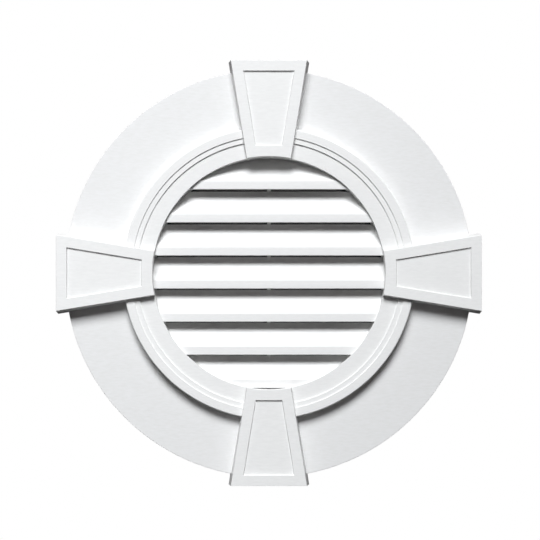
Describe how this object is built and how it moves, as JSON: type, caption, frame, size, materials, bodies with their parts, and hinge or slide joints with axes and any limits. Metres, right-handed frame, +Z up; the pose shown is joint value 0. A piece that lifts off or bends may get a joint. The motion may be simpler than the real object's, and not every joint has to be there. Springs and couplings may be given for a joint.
{
  "type": "round gable vent",
  "caption": "Round gable vent with sloping louvres in a collar, a stepped clip-on ring, a flat disc surround and keystones with sunken panels.",
  "frame": {"origin": "on the vent's axis, in the plane of the wall face that the nailing flange lies against", "axes": "+Z up on the wall, +Y along the axis into the wall, so the front faces -Y, and +X to the right as seen from the front"},
  "size_m": [0.816, 0.0848, 0.816],
  "materials": {
    "white_moulding": "white moulded plastic with a very faint grain",
    "screen_mesh": "charcoal coated insect mesh"
  },
  "bodies": {
    "root": {"louver_body": "white_moulding", "insect_screen": "screen_mesh", "trim_ring": "white_moulding", "flat_trim": "white_moulding", "keystone_top": "white_moulding", "keystone_right": "white_moulding", "keystone_bottom": "white_moulding", "keystone_left": "white_moulding"}
  },
  "joints": []
}
